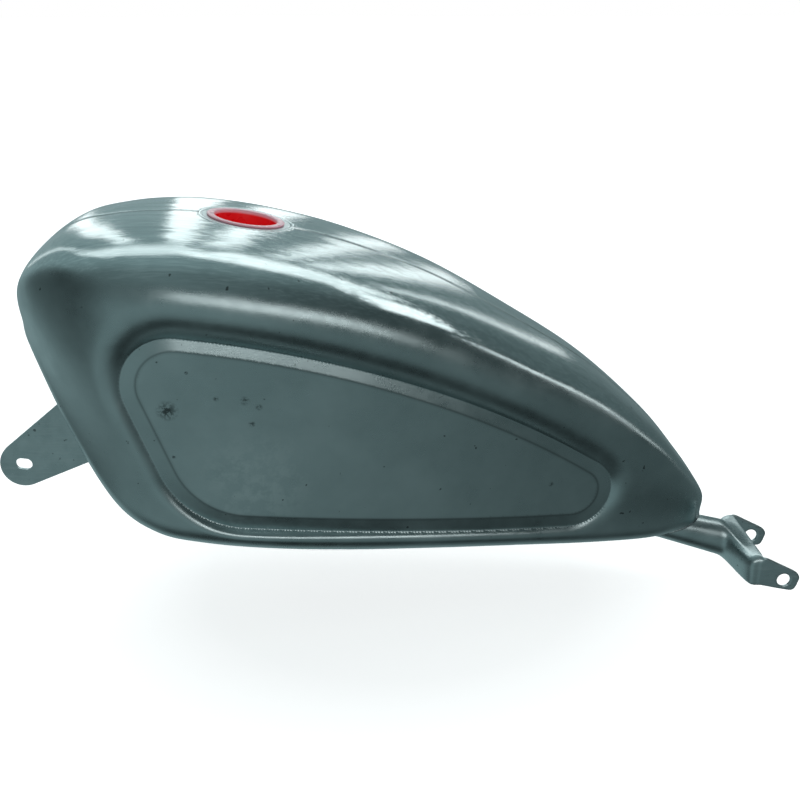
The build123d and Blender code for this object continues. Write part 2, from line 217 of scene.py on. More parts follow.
def open_edge(body, grow, with_floor):
    """W of the skin's lower edge in every row: the tunnel's mouth, or the floor plate's rim."""
    edge = np.zeros(ROWS)
    for i in range(ROWS):
        inside = casing_distance(body.x[i], body.y[i], body.z[i], WALL + grow)
        if with_floor:
            plate = body.y[i] - floor_edge_y(body.x[i], grow)
            inside = np.minimum(inside, np.where(body.z[i] < body.z[i][-1] + 2, plate, 99.0))
        keep = np.nonzero(inside >= 0)[0]
        last = keep[-1] if len(keep) else 0
        j = float(last)
        if last < COLUMNS - 1:
            j += inside[last] / (inside[last] - inside[last + 1])
        edge[i] = (j / (COLUMNS - 1) - 0.5) * body.around[i]
    return np.minimum(edge, body.around / 2 - SEAM_HALF)


# ---------------------------------------------------------------- side panel
def panel_outline():
    """Points, outward normals and edge widths round the panel's inner crease, in x and z."""
    a, b, c = [np.array(p) for p in (PANEL_FRONT, PANEL_TOP, PANEL_REAR)]
    matrix = 2 * np.array([b - a, c - a])
    centre = np.linalg.solve(matrix, [b @ b - a @ a, c @ c - a @ a])
    reach = np.linalg.norm(a - centre)
    low = np.array(PANEL_LOWER)
    step = 0.5

    def line(start, end):
        direction = (end - start) / np.linalg.norm(end - start)
        return direction, np.array([direction[1], -direction[0]])

    base_dir, base_out = line(c, low)
    front_dir, front_out = line(low, a)
    r_front, r_rear, r_low = PANEL_RADII

    def arc_line_centre(origin, direction, out, radius, near):
        """Middle of the round between the long arc and a straight edge."""
        start = origin - out * radius - centre
        half_b = start @ direction
        root = math.sqrt(half_b**2 - start @ start + (reach - radius)**2)
        spots = [centre + start + direction * (-half_b + sign * root) for sign in (1, -1)]
        return min(spots, key=lambda p: np.linalg.norm(p - near))

    mid_front = arc_line_centre(low, front_dir, front_out, r_front, a)
    mid_rear = arc_line_centre(c, base_dir, base_out, r_rear, c)
    mix = np.array([base_out, front_out])
    mid_low = np.linalg.solve(mix, [base_out @ c - r_low, front_out @ low - r_low])

    def angle(v):
        return math.atan2(v[1], v[0])

    def sweep(middle, radius, start, end):
        """Arc of a circle, turning anticlockwise from one direction to another."""
        turn = (end - start) % (2 * math.pi)
        t = start + np.linspace(0, turn, max(int(radius * turn / step), 2))
        out = np.stack([np.cos(t), np.sin(t)], 1)
        return middle + radius * out, out

    def straight(start, end, out):
        count = max(int(np.linalg.norm(end - start) / step), 2)
        t = np.linspace(0, 1, count)[1:-1, None]
        return start + (end - start) * t, np.repeat(out[None], len(t), 0)

    runs = [
        straight(mid_rear + base_out * r_rear, mid_low + base_out * r_low, base_out),
        sweep(mid_low, r_low, angle(base_out), angle(front_out)),
        straight(mid_low + front_out * r_low, mid_front + front_out * r_front, front_out),
        sweep(mid_front, r_front, angle(front_out), angle(mid_front - centre)),
        sweep(centre, reach, angle(mid_front - centre), angle(mid_rear - centre)),
        sweep(mid_rear, r_rear, angle(mid_rear - centre), angle(base_out)),
    ]
    points = np.concatenate([run[0] for run in runs])
    out = np.concatenate([run[1] for run in runs])
    up = np.clip(out[:, 1], 0, 1)
    ahead = np.clip(out[:, 0], 0, 1)
    down = np.clip(-out[:, 1], 0, 1)
    back = np.clip(-out[:, 0], 0, 1) * (1 - up)
    band = BAND_TOP + (BAND_LOW - BAND_TOP) * np.clip(down + 0.7 * ahead + back, 0, 1)
    wall = WALL_LOW + (WALL_TOP - WALL_LOW) * up**0.7
    wall = np.maximum(wall, WALL_LOW + (WALL_FRONT - WALL_LOW) * np.clip(ahead * (1 - 1.6 * down), 0, 1)**0.8)
    wall = np.maximum(wall, 20 * back)
    kernel = np.hanning(81) / np.hanning(81).sum()
    smooth = [np.convolve(np.tile(v, 3), kernel, "same")[len(v):2 * len(v)] for v in (band, wall)]
    return points, out, smooth[0], smooth[1]


def panel_surface(x, z):
    """y of the panel's raised face."""
    plan = PANEL_APEX[1] - (x - PANEL_APEX[0])**2 / (2 * PANEL_RADIUS)
    return plan + PANEL_LEAN * (z - PANEL_Z)


class Panel:
    """The pressed side panel: finds how far a point is from its crease, and its depth."""

    def __init__(self):
        self.points, self.out, self.band, self.wall = panel_outline()
        self.tree = KDTree(len(self.points))
        for i, p in enumerate(self.points):
            self.tree.insert((p[0], 0, p[1]), i)
        self.tree.balance()

    def offset(self, x, z):
        """Signed distance outside the crease, with the band and wall widths there."""
        nearest = np.array([self.tree.find((a, 0, b))[1] for a, b in zip(x, z)])
        to = np.stack([x, z], 1) - self.points[nearest]
        side = np.sign((to * self.out[nearest]).sum(1))
        return side * np.linalg.norm(to, axis=1), self.band[nearest], self.wall[nearest]

    def level(self, q):
        """The closed curve at level q: 0 the crease, 1 the band's outer edge, 2 the wall's."""
        far = np.where(q <= 1, q * self.band, self.band + (q - 1) * self.wall)[:, None]
        return self.points + self.out * far

    def press(self, points):
        """Moves body points in or out to the pressed form; also returns their distance."""
        x, y, z = points.T
        d, band, wall = self.offset(x, z)
        face = panel_surface(x, z)
        ramp = np.clip(d / band, 0, 1)
        floor = face - PANEL_RISE * ramp
        t = np.clip((d - band) / wall, 0, 1)
        weight = (1 - t)**2.6
        depth = np.maximum(y - (face - PANEL_RISE), 0)
        low_lip = np.minimum(y, face - PANEL_RISE + depth)
        pressed = np.where(d <= band, floor, low_lip - weight * depth)
        moved = points.copy()
        moved[:, 1] = pressed
        return moved, d


# ---------------------------------------------------------------- mesh helpers
PIECES = []               # every modelled piece, with its material slot


def new_object(name, vertices, faces, body, slot):
    """A mesh object from millimetre points, riding on a CAD body."""
    mesh = bpy.data.meshes.new(name)
    mesh.from_pydata([tuple(float(c) * MM for c in v) for v in vertices], [], faces)
    mesh.validate()
    mesh.update()
    mesh.polygons.foreach_set("use_smooth", [True] * len(mesh.polygons))
    obj = bpy.data.objects.new(name, mesh)
    bpy.context.scene.collection.objects.link(obj)
    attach(obj, body)
    PIECES.append((obj, slot))
    return obj


def add_thickness(obj, wall):
    """Gives a skin its sheet thickness, inwards."""
    solid = obj.modifiers.new("thickness", "SOLIDIFY")
    solid.thickness = wall * MM
    solid.offset = -1.0
    solid.use_even_offset = False
    solid.use_rim = True
    solid.use_quality_normals = True


def apply_modifiers(obj):
    """Bakes the modifiers into the mesh."""
    graph = bpy.context.evaluated_depsgraph_get()
    made = bpy.data.meshes.new_from_object(obj.evaluated_get(graph))
    obj.modifiers.clear()
    obj.data = made


def add_value(obj, name, values):
    """A named number on every point of the mesh, for its material."""
    attribute = obj.data.attributes.new(name, "FLOAT", "POINT")
    attribute.data.foreach_set("value", np.asarray(values, np.float32))


def skin_domain(body):
    """Closed edge of the left shell in U and W, and its neck hole and lower edge."""
    lower = open_edge(body, WELD_GAP, True)
    thin = list(range(0, ROWS, 3)) + ([ROWS - 1] if (ROWS - 1) % 3 else [])
    bottom = []
    for i, k in zip(thin, thin[1:]):
        bottom.append((body.u[i], lower[i]))
        jump = lower[k] - lower[i]
        if abs(jump) > 8:
            steps = int(abs(jump) / 2.5)
            middle = (body.u[i] + body.u[k]) / 2
            bottom += [(middle, lower[i] + jump * s / steps) for s in range(1, steps)]
    bottom.append((body.u[-1], lower[-1]))

    hole_r = NECK_R + WELD_GAP
    hole = []
    for turn in np.linspace(math.pi, 0, 60):
        height = NECK.z
        for _ in range(3):
            centre = NECK.x - math.tan(NECK_TILT) * (height - NECK.z)
            x = centre + hole_r * math.cos(turn) / math.cos(NECK_TILT)
            u, w = body.seek(x, body.y, max(hole_r * math.sin(turn), SEAM_HALF))
            height = float(body.points([u], [w])[0, 2])
        hole.append((u, w))
    top = []
    for i in thin:
        edge = -body.around[i] / 2 + SEAM_HALF
        if body.u[i] < hole[0][0] - 0.4 or body.u[i] > hole[-1][0] + 0.4:
            top.append((body.u[i], edge))
    before = [p for p in top if p[0] < hole[0][0]]
    after = [p for p in top if p[0] > hole[-1][0]]
    return before + hole + after, bottom


def skin_points(body, panel):
    """Rings of mesh points round the panel, and the creases among them as edges."""
    rings = []
    for q in (-1.2, -0.8, -0.5, -0.28, -0.12, -0.05):
        rings.append((panel.points + panel.out * q * BAND_TOP, False))
    for q in (0.0, 0.05, 0.14, 0.35, 0.65, 0.88, 0.96, 1.0, 1.02, 1.06, 1.11, 1.18, 1.27, 1.37, 1.5,
              1.65, 1.82, 2.0):
        rings.append((panel.level(np.full(len(panel.points), q)), q in (0.0, 1.0)))
    chosen, constraints = [], []
    for ring, is_edge in rings:
        start = len(chosen)
        kept = ring[0]
        placed = [kept]
        for p in ring[1:]:
            if np.linalg.norm(p - kept) > (1.6 if is_edge else 2.4):
                placed.append(p)
                kept = p
        for x, z in placed:
            low = np.interp(x, body.x, body.rows[:, 2])
            if is_edge or z > low + 9:
                chosen.append(body.seek(x, body.z, z))
        if is_edge:
            count = len(chosen) - start
            constraints += [(start + k, start + (k + 1) % count) for k in range(count)]
    return chosen, constraints


def build_skin(body, panel):
    """Left shell: points, faces and the distance of each point from the panel's crease."""
    top, bottom = skin_domain(body)
    border = top + bottom[::-1]
    ring_points, ring_edges = skin_points(body, panel)
    tree = KDTree(len(border) + len(ring_points))
    for i, p in enumerate(border + ring_points):
        tree.insert((p[0], p[1], 0), i)
    tree.balance()
    top_u, top_w = np.array(top).T
    bottom_u, bottom_w = np.array(bottom).T
    field = []
    row_step = SKIN_STEP * math.sqrt(3) / 2
    for n, u in enumerate(np.arange(row_step / 2, body.length, row_step)):
        high = float(np.interp(u, top_u, top_w))
        low = float(np.interp(u, bottom_u, bottom_w))
        for w in np.arange(high + SKIN_STEP * (0.5 + 0.5 * (n % 2)), low, SKIN_STEP):
            if tree.find((u, w, 0))[2] > 0.62 * SKIN_STEP:
                field.append((u, w))
    count = len(border)
    coords = [Vector(p) for p in border + ring_points + field]
    edges = [(i, (i + 1) % count) for i in range(count)]
    edges += [(a + count, b + count) for a, b in ring_edges]
    made = delaunay_2d_cdt(coords, edges, [], 1, 1e-5, False)
    flat = np.array([tuple(v) for v in made[0]])
    kept = []
    for face in made[2]:
        u, w = flat[list(face)].mean(0)
        if w > np.interp(u, top_u, top_w) - 0.02:
            kept.append(face)
    points, offset = panel.press(body.points(flat[:, 0], flat[:, 1]))
    return points, facing_out(flat, kept), offset


def facing_out(flat, faces):
    """Turns faces anticlockwise in U and W, which is outwards on the left side."""
    turned = []
    for f in faces:
        a, b, c = flat[f[0]], flat[f[1]], flat[f[2]]
        area = (b[0] - a[0]) * (c[1] - a[1]) - (b[1] - a[1]) * (c[0] - a[0])
        turned.append(tuple(f) if area > 0 else tuple(f[::-1]))
    return turned


body_form = Body()
panel_form = Panel()
skin, skin_faces, skin_offset = build_skin(body_form, panel_form)

SIDES = (("left", 1), ("right", -1))


def mirrored_points(points, sign):
    return np.asarray(points) * np.array([1, sign, 1])


def build_shells():
    for side, sign in SIDES:
        faces = skin_faces if sign > 0 else [f[::-1] for f in skin_faces]
        shell = new_object(side + "_pressed_shell", mirrored_points(skin, sign), faces, "tank", "body_steel")
        # The crease value marks the panel's inner crease, where the steel paints a line of shade.
        add_value(shell, "crease", np.exp(-(skin_offset / 0.9)**2))
        add_thickness(shell, WALL)
        apply_modifiers(shell)
        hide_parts(side + "_shell")


# ---------------------------------------------------------------- seams and welds
def strip_faces(rows, columns, closed=False):
    """Quads joining rows of points; closed joins the last row to the first."""
    last = rows if closed else rows - 1
    quads = []
    for i in range(last):
        for j in range(columns - 1):
            k = (i + 1) % rows
            quads.append((i * columns + j, i * columns + j + 1, k * columns + j + 1, k * columns + j))
    return quads


def build_centre_seam():
    """The ground-flush weld along the crown, round the tail and the nose."""
    cut = open_edge(body_form, WELD_GAP, False)
    whole = cut > body_form.around / 2 - SEAM_HALF - 0.01
    middle = int(np.argmax(body_form.rows[:, 1] - body_form.rows[:, 2]))
    x, crown, bottom = body_form.rows[:, 0], body_form.rows[:, 1], body_form.rows[:, 2]
    tail = [i for i in range(middle) if whole[i]][::-1]
    nose = [i for i in range(middle, ROWS) if whole[i]][::-1]
    reach = (NECK_R + WELD_GAP) / math.cos(NECK_TILT)
    rear_run = [i for i in range(ROWS) if x[i] < NECK.x - reach]
    front_run = [i for i in range(ROWS) if x[i] > NECK.x + reach]
    lines = [
        [(x[i], bottom[i]) for i in tail] + [(x[i], crown[i]) for i in rear_run],
        [(x[i], crown[i]) for i in front_run] + [(x[i], bottom[i]) for i in nose],
    ]
    points, faces = [], []
    for line in lines:
        start = len(points)
        for px, pz in line[::2] + [line[-1]]:
            points += [(px, y, pz) for y in (-SEAM_HALF - 0.15, 0.0, SEAM_HALF + 0.15)]
        strip = strip_faces((len(points) - start) // 3, 3)
        faces += [tuple(start + k for k in f[::-1]) for f in strip]
    seam = new_object("centre_seam_weld", points, faces, "tank", "body_steel")
    add_thickness(seam, WALL)
    apply_modifiers(seam)
    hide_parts("top_seam_weld")


def weld_bead(name, path, out, width, height, node, closed=False):
    """A rippled bead of weld along a path, proud of the surface by its height."""
    rng = np.random.default_rng(len(path))
    path, out = np.asarray(path, float), np.asarray(out, float)
    run = np.concatenate([[0], np.cumsum(np.linalg.norm(np.diff(path, axis=0), axis=1))])
    count = max(int(run[-1] / 0.55), 8)
    even = np.linspace(0, run[-1], count)
    path = np.stack([np.interp(even, run, path[:, k]) for k in range(3)], 1)
    out = np.stack([np.interp(even, run, out[:, k]) for k in range(3)], 1)
    out /= np.linalg.norm(out, axis=1)[:, None]
    along = np.gradient(path, axis=0)
    along /= np.linalg.norm(along, axis=1)[:, None] + 1e-9
    across = np.cross(along, out)
    turns = max(count // 9, 2)
    wander = np.interp(even, np.linspace(0, run[-1], turns), rng.normal(0, 1, turns))
    ripple = 0.5 + 0.5 * np.cos(2 * math.pi * (even / 1.9 + 0.12 * wander))
    angles = np.linspace(0, 2 * math.pi, 11)[:-1]
    points = []
    for k in range(count):
        w = width / 2 * (0.94 + 0.08 * ripple[k] + 0.05 * wander[k])
        h = height * (0.72 + 0.42 * ripple[k] + 0.10 * wander[k])
        centre = path[k] + across[k] * 0.18 * wander[k]
        for a in angles:
            rise = math.sin(a) * (h if math.sin(a) > 0 else 1.2)
            points.append(centre + across[k] * (math.cos(a) * w) + out[k] * rise)
    ring = len(angles)
    faces = []
    for k in range(count if closed else count - 1):
        n = (k + 1) % count
        for j in range(ring):
            m = (j + 1) % ring
            faces.append((k * ring + j, k * ring + m, n * ring + m, n * ring + j))
    if not closed:
        faces.append(tuple(range(ring))[::-1])
        faces.append(tuple(range((count - 1) * ring, count * ring)))
    bead = new_object(name, points, faces, "tank", "weld_steel")
    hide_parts(node)


def surface_out(u, w):
    """Outward normals of the body at U and W."""
    ahead = body_form.points(u + 0.5, w) - body_form.points(u - 0.5, w)
    around = body_form.points(u, w + 0.5) - body_form.points(u, w - 0.5)
    out = np.cross(ahead, around)
    return out / (np.linalg.norm(out, axis=1)[:, None] + 1e-9)


def build_floor_welds():
    """Beads where the tunnel meets the skin and the floor, and round the floor plates."""
    cut = open_edge(body_form, 0.5 * WELD_GAP, False)
    rows = [i for i in range(4, ROWS - 4) if cut[i] < body_form.around[i] / 2 - SEAM_HALF - 0.05]
    u, w = body_form.u[rows], cut[rows]
    mouth = body_form.points(u, w)
    mouth_out = surface_out(u, w)
    edge_x = np.linspace(100, 506, 260)
    edge_y = floor_edge_y(edge_x, 0.5 * WELD_GAP)
    front_x = FLOOR_EDGE[-1, 0] + 0.5 * WELD_GAP
    front_y = np.linspace(edge_y[-1], TUNNEL_HALF + TUNNEL_FLARE * front_x + WALL + 1.5, 20)
    rim_x = np.concatenate([edge_x, np.full(20, front_x)])
    rim_y = np.concatenate([edge_y, front_y])
    rim_z = np.interp(rim_x, body_form.x, body_form.rows[:, 2])
    rim = np.stack([rim_x, rim_y, rim_z], 1)
    keep = rim_y > TUNNEL_HALF + TUNNEL_FLARE * rim_x + WALL + 1.0
    down = np.repeat([[0.0, 0.0, -1.0]], keep.sum(), 0)
    for side, sign in SIDES:
        weld_bead(side + "_mouth_bead", mirrored_points(mouth, sign), mirrored_points(mouth_out, sign),
                  4.6, 0.9, side + "_tunnel_weld")
        weld_bead(side + "_rim_bead", mirrored_points(rim[keep], sign), down, 4.8, 0.8, side + "_rim_weld")


def build_neck_weld():
    """The neck's weld, ground flush with the crown."""
    reaches = np.array([NECK_R - 0.15, NECK_R + 0.5, NECK_R + 1.2, NECK_R + 2.0, NECK_R + 2.8])
    share = np.array([0.0, 0.35, 0.7, 1.0, 1.0])
    proud = np.array([0.0, 0.12, 0.14, 0.06, -0.08])
    points = []
    for turn in np.linspace(0, 2 * math.pi, 145)[:-1]:
        for reach, s, lift in zip(reaches, share, proud):
            x = NECK.x + reach * math.cos(turn) * math.cos(NECK_TILT)
            y = reach * math.sin(turn)
            plane_z = NECK.z + math.tan(NECK_TILT) * (x - NECK.x)
            u, w = body_form.seek(x, body_form.y, abs(y))
            skin_z = float(body_form.points([u], [w])[0, 2])
            points.append((x, y, plane_z * (1 - s) + skin_z * s + lift))
    ring = new_object("filler_neck_ground_weld", points, strip_faces(144, 5, True), "tank", "body_steel")
    add_thickness(ring, 1.0)
    apply_modifiers(ring)
    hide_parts("filler_neck_weld")


# ---------------------------------------------------------------- filler plug
# Radius and height above the neck, from the cup's outer floor to its inner floor
PLUG_PROFILE = (
    (0.0, -21.0), (23.2, -21.0), (24.8, -20.2), (25.3, -18.6), (25.4, -14.8), (26.4, -14.3), (26.4, -13.6),
    (25.5, -13.0), (25.6, -10.2), (26.4, -9.8), (26.4, -9.1), (25.7, -8.6), (25.8, -5.6), (26.4, -5.2),
    (26.4, -4.6), (25.9, -4.1), (26.1, 0.2), (29.8, 0.2), (30.3, 0.45), (30.4, 0.9), (30.1, 1.35),
    (29.4, 1.6), (27.2, 1.6), (25.6, 1.5), (24.7, 1.2), (24.3, 0.5), (24.1, -4.0), (23.8, -12.0),
    (23.5, -16.6), (22.6, -18.4), (21.0, -19.1), (8.0, -19.2), (5.0, -18.8), (2.5, -18.5), (0.0, -18.4),
)


def build_plug():
    """The push-in plug: a ribbed cup with a thin rolled flange."""
    steps = 128
    points, faces = [], []
    profile = PLUG_PROFILE[1:-1]
    rows = len(profile)
    lean = Matrix.Translation(NECK) @ Matrix.Rotation(-NECK_TILT, 4, "Y")
    for k in range(steps):
        turn = 2 * math.pi * k / steps
        for radius, height in profile:
            points.append(lean @ Vector((radius * math.cos(turn), radius * math.sin(turn), height)))
    for k in range(steps):
        n = (k + 1) % steps
        for j in range(rows - 1):
            faces.append((k * rows + j, n * rows + j, n * rows + j + 1, k * rows + j + 1))
    low, high = len(points), len(points) + 1
    points += [lean @ Vector((0, 0, PLUG_PROFILE[0][1])), lean @ Vector((0, 0, PLUG_PROFILE[-1][1]))]
    for k in range(steps):
        n = (k + 1) % steps
        faces.append((low, n * rows, k * rows))
        faces.append((high, k * rows + rows - 1, n * rows + rows - 1))
    plug = new_object("filler_plug_moulding", points, faces, "plug", "red_plastic")
    round_off = plug.modifiers.new("round", "SUBSURF")
    round_off.levels = round_off.render_levels = 1
    apply_modifiers(plug)
    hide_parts("filler_plug")


# ---------------------------------------------------------------- rear bracket
TUBE_R = 13.35
TUBE_WALL = 2.6
TUBE_AXIS_Z = 13.2
TUBE_SPAN = (160.0, 47.0)
SPREAD_END_X = 19.0
FLARE_END_X = 26.0                   # the channel has its full width from here back
SKIRT_START_X = 100.0                # from here back the tube's underside is drawn down
SKIRT_SLOPE = 0.11
CHANNEL = (43.7, 22.8, -4.6, 6.0)    # half width, top, bottom and corner radius
EAR_T = 3.0
EAR_INNER_Y = 41.0
EAR_BOLT_R = 5.6
EAR_OUTLINE = (
    (21.5, 16.0), (18.6, 21.4), (15.2, 20.6), (-8.2, 8.6), (-11.6, 6.2), (-13.6, 3.2), (-13.9, 0.6),
    (-11.9, -5.6), (-10.4, -8.6), (-8.4, -9.9), (-5.6, -10.1), (5.5, -7.8), (17.5, -5.0), (22.0, -3.6),
)


def eased(value):
    share = np.clip(value, 0, 1)
    return share**3 * (share * (6 * share - 15) + 10)


def bracket_section(x, count):
    """Half of the formed tube's section at x, from its slit edge under it to its top."""
    t = np.linspace(0, 1, count)
    axis_z = TUBE_AXIS_Z + SLOPE * x
    turn = math.pi * (t - 0.5)
    drawn = SKIRT_SLOPE * np.maximum(SKIRT_START_X - x, 0) * (0.5 - 0.5 * np.sin(turn))**1.5
    tube = np.stack([TUBE_R * np.cos(turn), axis_z + TUBE_R * np.sin(turn) - drawn], 1)
    half, top, bottom, radius = CHANNEL
    side, bend, flat = top - bottom - radius, 0.5 * math.pi * radius, half - radius
    reach = t * (side + bend + flat)
    a = np.clip((reach - side) / bend, 0, 1) * 0.5 * math.pi
    y = half - radius + radius * np.cos(a) - np.maximum(reach - side - bend, 0)
    z = bottom + np.minimum(reach, side) + radius * np.sin(a)
    start = TUBE_SPAN[1]
    wide = eased((start - x) / (start - FLARE_END_X))
    low = eased((start - x) / (start - SPREAD_END_X))
    return np.stack([tube[:, 0] * (1 - wide) + y * wide, tube[:, 1] * (1 - low) + z * low], 1)


def fused_piece(name, parts, voxel, slot, smooth_steps):
    """Joins closed meshes into one with soft inside corners, as a formed and welded part has."""
    bpy.ops.object.select_all(action="DESELECT")
    for part in parts:
        part.select_set(True)
    bpy.context.view_layer.objects.active = parts[0]
    bpy.ops.object.join()
    joined = parts[0]
    remesh = joined.modifiers.new("fuse", "REMESH")
    remesh.mode = "VOXEL"
    remesh.voxel_size = voxel * MM
    remesh.use_smooth_shade = True
    relax = joined.modifiers.new("relax", "CORRECTIVE_SMOOTH")
    relax.factor = 0.6
    relax.iterations = smooth_steps
    relax.use_only_smooth = True
    apply_modifiers(joined)
    joined.name = name
    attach(joined, "tank")
    PIECES.append((joined, slot))
    return joined


def loose_mesh(name, points, faces):
    mesh = bpy.data.meshes.new(name)
    mesh.from_pydata([tuple(float(c) * MM for c in p) for p in points], [], faces)
    mesh.update()
    obj = bpy.data.objects.new(name, mesh)
    bpy.context.scene.collection.objects.link(obj)
    return obj


def middle_of(flat, face):
    return [sum(flat[k][axis] for k in face) / len(face) for axis in (0, 1)]


def in_loop(point, loop):
    """Whether a point lies inside a closed outline."""
    x, z = point
    inside = False
    for (ax, az), (bx, bz) in zip(loop, loop[1:] + loop[:1]):
        if (az > z) != (bz > z) and x < ax + (z - az) * (bx - ax) / (bz - az):
            inside = not inside
    return inside


def plate_mesh(name, outline, holes, low_y, high_y):
    """A flat plate drawn in x and z, with holes, between two y planes."""
    loops = [outline] + holes
    coords, edges = [], []
    for loop in loops:
        start = len(coords)
        coords += [Vector(p) for p in loop]
        edges += [(start + k, start + (k + 1) % len(loop)) for k in range(len(loop))]
    made = delaunay_2d_cdt(coords, edges, [], 5, 1e-5, False)
    flat = [tuple(v) for v in made[0]]
    kept = [f for f in made[2] if not any(in_loop(middle_of(flat, f), hole) for hole in holes)]
    count = len(flat)
    points = [(p[0], low_y, p[1]) for p in flat] + [(p[0], high_y, p[1]) for p in flat]
    faces = [tuple(f) for f in kept] + [tuple(k + count for k in f[::-1]) for f in kept]
    for a, b in edges:
        faces.append((a, a + count, b + count, b))
    plate = loose_mesh(name, points, faces)
    bm = bmesh.new()
    bm.from_mesh(plate.data)
    bmesh.ops.recalc_face_normals(bm, faces=bm.faces)
    bm.to_mesh(plate.data)
    bm.free()
    return plate


def circle_points(x, z, radius, count=48):
    turns = [2 * math.pi * k / count for k in range(count)]
    return [(x + radius * math.cos(a), z + radius * math.sin(a)) for a in turns]


def build_bracket():
    """Tube under the tail, slit and spread into a channel with two drilled ears."""
    stations = np.concatenate([np.linspace(*TUBE_SPAN, 50), np.linspace(TUBE_SPAN[1], SPREAD_END_X, 34)[1:]])
    count = 40
    points = []
    for x in stations:
        half = bracket_section(x, count)
        row = [(x, y, z) for y, z in half] + [(x, -y, z) for y, z in half[::-1][1:]]
        points += row
    columns = 2 * count - 1
    sheet = loose_mesh("bracket_sheet", points, strip_faces(len(stations), columns))
    bm = bmesh.new()
    bm.from_mesh(sheet.data)
    bmesh.ops.remove_doubles(bm, verts=bm.verts, dist=0.02 * MM)
    bmesh.ops.recalc_face_normals(bm, faces=bm.faces)
    top = max(bm.faces, key=lambda f: f.calc_center_median().z)
    if top.normal.z < 0:
        bmesh.ops.reverse_faces(bm, faces=bm.faces)
    bm.to_mesh(sheet.data)
    bm.free()
    add_thickness(sheet, TUBE_WALL)
    apply_modifiers(sheet)
    bolt = circle_points(0, 0, EAR_BOLT_R)
    low, high = EAR_INNER_Y, EAR_INNER_Y + EAR_T
    parts = [sheet]
    for side, sign in SIDES:
        parts.append(plate_mesh(side + "_ear", list(EAR_OUTLINE), [bolt], sign * low, sign * high))
    bracket = fused_piece("rear_bracket_formed", parts, 0.55, "bracket_steel", 12)
    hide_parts("rear_mount_bracket")


build_shells()
build_centre_seam()
build_floor_welds()
build_neck_weld()
build_plug()
build_bracket()


# ---------------------------------------------------------------- materials
class Nodes:
    """Short helper for building a node material."""

    def __init__(self, name):
        self.material = bpy.data.materials.new(name)
        self.material.use_nodes = True
        self.tree = self.material.node_tree
        self.tree.nodes.clear()
        self.shader = self.add("ShaderNodeBsdfPrincipled")
        output = self.add("ShaderNodeOutputMaterial")
        self.link(self.shader.outputs[0], output.inputs["Surface"])
        self.place = self.add("ShaderNodeTexCoord").outputs["Object"]
        self.geometry = self.add("ShaderNodeNewGeometry")

    def add(self, kind, **settings):
        node = self.tree.nodes.new(kind)
        for key, value in settings.items():
            setattr(node, key, value)
        return node

    def link(self, a, b):
        self.tree.links.new(a, b)

    def noise(self, scale, detail=4.0, rough=0.55, stretch=(1, 1, 1), turn=(0, 0, 0), shift=(0, 0, 0)):
        """A noise value over the object's own coordinates, stretched and turned."""
        mapping = self.add("ShaderNodeMapping")
        mapping.inputs["Scale"].default_value = stretch
        mapping.inputs["Rotation"].default_value = [math.radians(a) for a in turn]
        mapping.inputs["Location"].default_value = shift
        self.link(self.place, mapping.inputs["Vector"])
        node = self.add("ShaderNodeTexNoise")
        node.inputs["Scale"].default_value = scale
        node.inputs["Detail"].default_value = detail
        node.inputs["Roughness"].default_value = rough
        self.link(mapping.outputs[0], node.inputs["Vector"])
        return node.outputs["Fac"]

    def range(self, value, low, high, to_low, to_high):
        node = self.add("ShaderNodeMapRange")
        for key, number in zip(("From Min", "From Max", "To Min", "To Max"), (low, high, to_low, to_high)):
            node.inputs[key].default_value = number
        self.link(value, node.inputs["Value"])
        return node.outputs[0]

    def math(self, operation, a, b):
        node = self.add("ShaderNodeMath", operation=operation)
        for socket, value in zip(node.inputs, (a, b)):
            if isinstance(value, (int, float)):
                socket.default_value = value
            else:
                self.link(value, socket)
        return node.outputs[0]

    def mix(self, factor, a, b):
        node = self.add("ShaderNodeMix", data_type="RGBA")
        for socket, value in ((node.inputs[0], factor), (node.inputs[6], a), (node.inputs[7], b)):
            if isinstance(value, (int, float)):
                socket.default_value = value
            elif isinstance(value, tuple):
                socket.default_value = value if socket.type == "VECTOR" else (*value, 1.0)
            else:
                self.link(value, socket)
        return node.outputs[2]

    def attribute(self, name):
        return self.add("ShaderNodeAttribute", attribute_name=name).outputs["Fac"]

    def bump(self, height, distance, strength=1.0, normal=None):
        node = self.add("ShaderNodeBump")
        node.inputs["Strength"].default_value = strength
        node.inputs["Distance"].default_value = distance
        self.link(height, node.inputs["Height"])
        if normal is not None:
            self.link(normal, node.inputs["Normal"])
        return node.outputs[0]

    def set(self, **values):
        for key, value in values.items():
            socket = self.shader.inputs[key.replace("_", " ")]
            if isinstance(value, (int, float)):
                socket.default_value = value
            elif isinstance(value, tuple):
                socket.default_value = value if socket.type == "VECTOR" else (*value, 1.0)
            else:
                self.link(value, socket)


STEEL = (0.60, 0.705, 0.71)
STEEL_DULL_AND_SHADE = (0.47, 0.565, 0.57)
STEEL_PALE_AND_HIGHLIGHT = (0.70, 0.80, 0.80)
# Dark of soot and pits, also used for the painted shade along the panel's crease.
SOOT_AND_SHADE = (0.06, 0.075, 0.075)


# Smudges and dashes of soot: place in mm, full and faded-out distance in mm, strength
SOOT_MARKS = (
    ((498.7, 112.6, 189.3), 2, 9, 0.9), ((463, 114, 198.3), 0.6, 2.6, 0.8),
    ((442.4, 113.4, 196.1), 1.0, 4.2, 0.7), ((482.9, 116.3, 219.1), 0.6, 1.6, 0.9),
    ((432.7, 112, 190.8), 0.8, 3.0, 0.8), ((438.4, 111, 177.4), 0.8, 3.0, 0.8),
    ((496.6, 108.4, 151.6), 0.6, 1.8, 0.9), ((209.1, 72.7, 107.0), 0.8, 2.6, 0.6),
)


def near_point(n, place, inner, outer):
    """1 close to a point of the object, falling to 0 at the outer distance, both in mm."""
    node = n.add("ShaderNodeVectorMath", operation="DISTANCE")
    node.inputs[1].default_value = [c * MM for c in place]
    n.link(n.place, node.inputs[0])
    return n.range(node.outputs["Value"], inner * MM, outer * MM, 1.0, 0.0)


